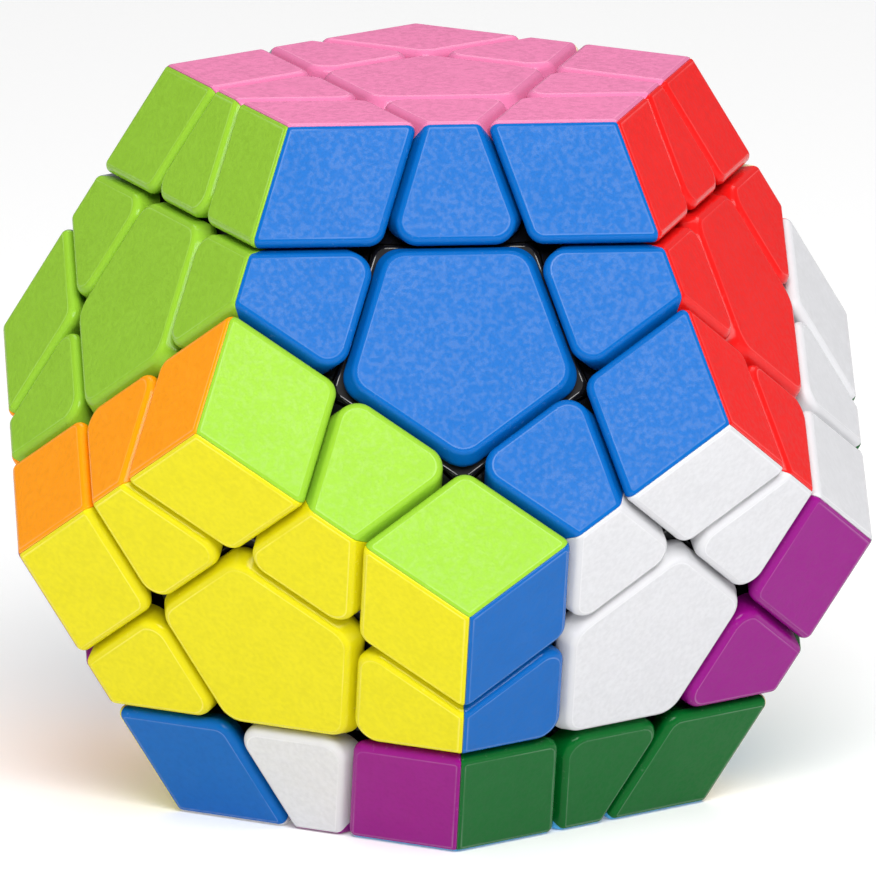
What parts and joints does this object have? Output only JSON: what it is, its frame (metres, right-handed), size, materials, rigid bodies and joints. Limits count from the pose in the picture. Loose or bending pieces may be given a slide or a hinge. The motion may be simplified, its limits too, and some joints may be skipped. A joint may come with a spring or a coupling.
{
  "type": "dodecahedron twisty puzzle",
  "caption": "Dodecahedron twisty puzzle: coloured caps on black corner, edge and centre pieces that turn in face layers about a spring-loaded core.",
  "frame": {"origin": "middle of the core, where the twelve face axes meet", "axes": "+Z out of the pink face, which is parallel to the purple face that the puzzle rests on; -Y towards the blue face, which leans up and forward"},
  "size_m": [0.0818, 0.086, 0.07],
  "materials": {
    "pink_plastic": "frosted field with a glossy rounded rim",
    "purple_plastic": "frosted field with a glossy rounded rim",
    "blue_plastic": "frosted field with a glossy rounded rim",
    "red_plastic": "frosted field with a glossy rounded rim",
    "cream_plastic": "frosted field with a glossy rounded rim",
    "grey_plastic": "frosted field with a glossy rounded rim",
    "light_green_plastic": "frosted field with a glossy rounded rim",
    "white_plastic": "frosted field with a glossy rounded rim",
    "dark_green_plastic": "frosted field with a glossy rounded rim",
    "light_blue_plastic": "frosted field with a glossy rounded rim",
    "orange_plastic": "frosted field with a glossy rounded rim",
    "yellow_plastic": "frosted field with a glossy rounded rim",
    "black_plastic": "smooth moulded",
    "steel": "zinc plated"
  },
  "bodies": {
    "still_frame": {"blue_caps_still_frame": "blue_plastic", "blue_centre_cap": "blue_plastic", "centre_bases_still_frame": "black_plastic", "centre_screws": "steel", "centre_springs": "steel", "core": "black_plastic", "corner_bases_still_frame": "black_plastic", "cream_caps_still_frame": "cream_plastic", "cream_centre_cap": "cream_plastic", "dark_green_caps_still_frame": "dark_green_plastic", "edge_bases_still_frame": "black_plastic", "grey_caps_still_frame": "grey_plastic", "grey_centre_cap": "grey_plastic", "light_blue_caps_still_frame": "light_blue_plastic", "light_blue_centre_cap": "light_blue_plastic", "light_green_caps_still_frame": "light_green_plastic", "light_green_centre_cap": "light_green_plastic", "orange_caps_still_frame": "orange_plastic", "orange_centre_cap": "orange_plastic", "purple_caps_still_frame": "purple_plastic", "purple_centre_cap": "purple_plastic", "red_caps_still_frame": "red_plastic", "red_centre_cap": "red_plastic", "screw_washers": "steel", "white_caps_still_frame": "white_plastic", "white_centre_cap": "white_plastic", "yellow_caps_still_frame": "yellow_plastic"},
    "pink_layer": {"blue_caps_pink_layer": "blue_plastic", "centre_bases_pink_layer": "black_plastic", "corner_bases_pink_layer": "black_plastic", "cream_caps_pink_layer": "cream_plastic", "edge_bases_pink_layer": "black_plastic", "grey_caps_pink_layer": "grey_plastic", "light_green_caps_pink_layer": "light_green_plastic", "pink_caps_pink_layer": "pink_plastic", "pink_centre_cap": "pink_plastic", "red_caps_pink_layer": "red_plastic"},
    "yellow_layer": {"blue_caps_yellow_layer": "blue_plastic", "centre_bases_yellow_layer": "black_plastic", "corner_bases_yellow_layer": "black_plastic", "dark_green_caps_yellow_layer": "dark_green_plastic", "edge_bases_yellow_layer": "black_plastic", "light_blue_caps_yellow_layer": "light_blue_plastic", "light_green_caps_yellow_layer": "light_green_plastic", "orange_caps_yellow_layer": "orange_plastic", "purple_caps_yellow_layer": "purple_plastic", "white_caps_yellow_layer": "white_plastic", "yellow_caps_yellow_layer": "yellow_plastic", "yellow_centre_cap": "yellow_plastic"},
    "green_layer": {"centre_bases_green_layer": "black_plastic", "corner_bases_green_layer": "black_plastic", "cream_caps_green_layer": "cream_plastic", "dark_green_caps_green_layer": "dark_green_plastic", "dark_green_centre_cap": "dark_green_plastic", "edge_bases_green_layer": "black_plastic", "light_blue_caps_green_layer": "light_blue_plastic", "orange_caps_green_layer": "orange_plastic", "purple_caps_green_layer": "purple_plastic", "red_caps_green_layer": "red_plastic", "white_caps_green_layer": "white_plastic"}
  },
  "joints": [
    {"name": "pink_layer_turn", "type": "hinge", "parent": "still_frame", "child": "pink_layer", "pos_m": [0, 0, 0], "axis": [0, 0, 1], "continuous": true},
    {"name": "yellow_layer_turn", "type": "hinge", "parent": "still_frame", "child": "yellow_layer", "pos_m": [0, 0, 0], "axis": [-0.5257, -0.7236, -0.4472], "continuous": true},
    {"name": "green_layer_turn", "type": "hinge", "parent": "still_frame", "child": "green_layer", "pos_m": [0, 0, 0], "axis": [0.8507, 0.2764, -0.4472], "continuous": true}
  ]
}
